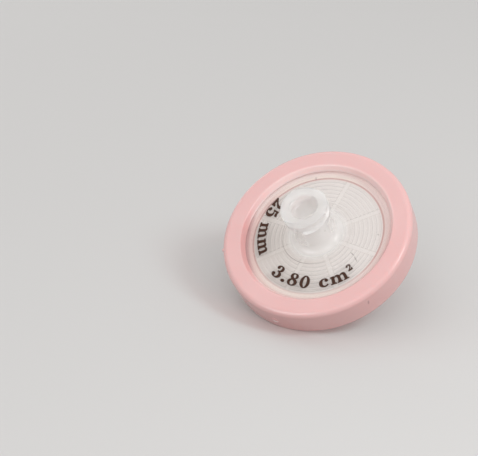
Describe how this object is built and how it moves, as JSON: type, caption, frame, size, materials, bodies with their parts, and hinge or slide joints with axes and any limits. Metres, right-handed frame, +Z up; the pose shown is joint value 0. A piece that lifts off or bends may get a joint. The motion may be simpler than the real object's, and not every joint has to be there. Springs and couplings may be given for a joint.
{
  "type": "syringe filter",
  "caption": "Disposable disc filter for a syringe: clear lock socket inlet, ribbed clear housings around a white membrane, moulded pink ring and slip tip outlet.",
  "frame": {"origin": "centre of the bounding box in plan, on the surface that the filter lies on", "axes": "+X level along the ring's diameter, +Y level towards the side where the ring stands high, +Z up; the filter's own axis leans 33.6 degrees from +Z towards -Y at the inlet"},
  "size_m": [0.032, 0.0288, 0.0214],
  "materials": {
    "inlet_housing": "milky translucent, smooth as moulded",
    "membrane": "matt white",
    "outlet_housing": "milky translucent, smooth as moulded",
    "overmould_ring": "satin, opaque pale pink"
  },
  "bodies": {
    "root": {"inlet_housing": "inlet_housing", "membrane": "membrane", "outlet_housing": "outlet_housing", "overmould_ring": "overmould_ring"}
  },
  "joints": []
}
